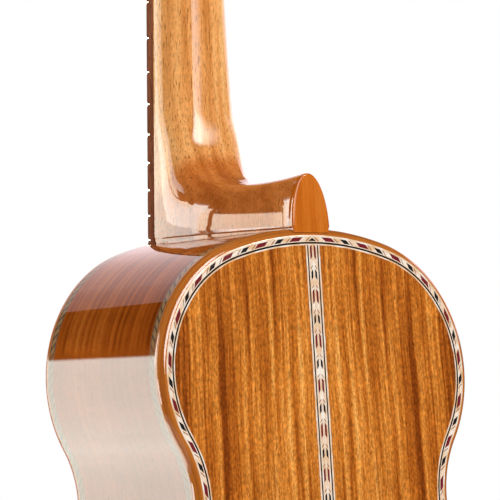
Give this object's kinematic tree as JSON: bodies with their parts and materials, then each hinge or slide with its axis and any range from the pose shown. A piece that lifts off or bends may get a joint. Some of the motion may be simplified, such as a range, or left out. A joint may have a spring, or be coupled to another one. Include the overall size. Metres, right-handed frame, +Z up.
{
  "type": "cavaquinho",
  "caption": "Small four-string lute with a waisted sound box, arched inlaid back, block heel, fretted neck and a tilted head with geared tuning machines.",
  "frame": {"origin": "on the centre line at the nut, in the plane where the fingerboard is glued to the neck, which is also the soundboard's face", "axes": "+Z up the neck towards the head, -Y the side of the soundboard and strings, X across, the thinnest string at +X"},
  "size_m": [0.208, 0.1016, 0.5717],
  "materials": {
    "koa": "high-gloss clear lacquer",
    "spruce": "high-gloss clear lacquer",
    "binding_wood": "high-gloss clear lacquer",
    "inlay_wood": "inlaid veneer under clear lacquer",
    "neck_cedar": "high-gloss clear lacquer",
    "inner_cedar": "bare, sanded",
    "inner_spruce": "bare, sanded",
    "rosewood": "oiled, satin",
    "bone": "polished",
    "pearl": "polished",
    "nickel": "polished",
    "chrome": "polished",
    "steel": "satin",
    "brass": "satin",
    "button_plastic": "polished",
    "string_steel": "polished",
    "string_wound": "wound, satin"
  },
  "bodies": {
    "instrument": {"soundboard": "spruce", "rosette": "inlay_wood", "soundhole_patch": "inner_spruce", "front_edge_inlay": "inlay_wood", "front_binding": "binding_wood", "back_binding": "binding_wood", "front_side_inlay": "inlay_wood", "back_side_inlay": "inlay_wood", "side_treble": "koa", "side_bass": "koa", "back_treble": "koa", "back_bass": "koa", "back_edge_inlay": "inlay_wood", "back_centre_strip": "inlay_wood", "front_lining": "inner_cedar", "back_lining": "inner_cedar", "heel_block": "inner_cedar", "tail_block": "inner_cedar", "back_braces": "inner_spruce", "top_braces": "inner_spruce", "fan_braces": "inner_spruce", "bridge_patch": "inner_spruce", "back_seam_strip": "inner_spruce", "neck": "neck_cedar", "heel_cap": "binding_wood", "head_veneer": "koa", "fingerboard": "rosewood", "frets": "nickel", "fret_markers": "pearl", "nut": "bone", "bridge": "rosewood", "saddle": "bone", "string_ends": "brass", "tuner_plates": "chrome", "tuner_plate_screws": "steel", "tuner_bushings": "chrome", "string_1": "string_steel", "string_2": "string_steel", "string_3": "string_wound", "string_4": "string_wound"},
    "post_1": {"tuner_post_1": "chrome", "tuner_gear_1": "brass", "string_winding_1": "string_steel"},
    "button_1": {"tuner_worm_1": "chrome", "tuner_button_1": "button_plastic"},
    "post_2": {"tuner_post_2": "chrome", "tuner_gear_2": "brass", "string_winding_2": "string_steel"},
    "button_2": {"tuner_worm_2": "chrome", "tuner_button_2": "button_plastic"},
    "post_3": {"tuner_post_3": "chrome", "tuner_gear_3": "brass", "string_winding_3": "string_wound"},
    "button_3": {"tuner_worm_3": "chrome", "tuner_button_3": "button_plastic"},
    "post_4": {"tuner_post_4": "chrome", "tuner_gear_4": "brass", "string_winding_4": "string_wound"},
    "button_4": {"tuner_worm_4": "chrome", "tuner_button_4": "button_plastic"}
  },
  "joints": [
    {"name": "post_1_turn", "type": "hinge", "parent": "instrument", "child": "post_1", "pos_m": [0.0135, 0.0079, 0.04217], "axis": [0, -0.9781, 0.2079], "continuous": true},
    {"name": "button_1_turn", "type": "hinge", "parent": "instrument", "child": "button_1", "pos_m": [0.0135, 0.0235, 0.03211], "axis": [1, 0, 0], "continuous": true},
    {"name": "post_2_turn", "type": "hinge", "parent": "instrument", "child": "post_2", "pos_m": [0.0135, 0.01622, 0.0813], "axis": [0, -0.9781, 0.2079], "continuous": true},
    {"name": "button_2_turn", "type": "hinge", "parent": "instrument", "child": "button_2", "pos_m": [0.0135, 0.03182, 0.07123], "axis": [1, 0, 0], "continuous": true},
    {"name": "post_3_turn", "type": "hinge", "parent": "instrument", "child": "post_3", "pos_m": [-0.0135, 0.01622, 0.0813], "axis": [0, -0.9781, 0.2079], "continuous": true},
    {"name": "button_3_turn", "type": "hinge", "parent": "instrument", "child": "button_3", "pos_m": [-0.0135, 0.03182, 0.07123], "axis": [1, 0, 0], "continuous": true},
    {"name": "post_4_turn", "type": "hinge", "parent": "instrument", "child": "post_4", "pos_m": [-0.0135, 0.0079, 0.04217], "axis": [0, -0.9781, 0.2079], "continuous": true},
    {"name": "button_4_turn", "type": "hinge", "parent": "instrument", "child": "button_4", "pos_m": [-0.0135, 0.0235, 0.03211], "axis": [1, 0, 0], "continuous": true}
  ],
  "couplings": [
    {"joint": "post_1_turn", "follows": "button_1_turn", "ratio": -0.071429},
    {"joint": "post_2_turn", "follows": "button_2_turn", "ratio": -0.071429},
    {"joint": "post_3_turn", "follows": "button_3_turn", "ratio": -0.071429},
    {"joint": "post_4_turn", "follows": "button_4_turn", "ratio": -0.071429}
  ]
}
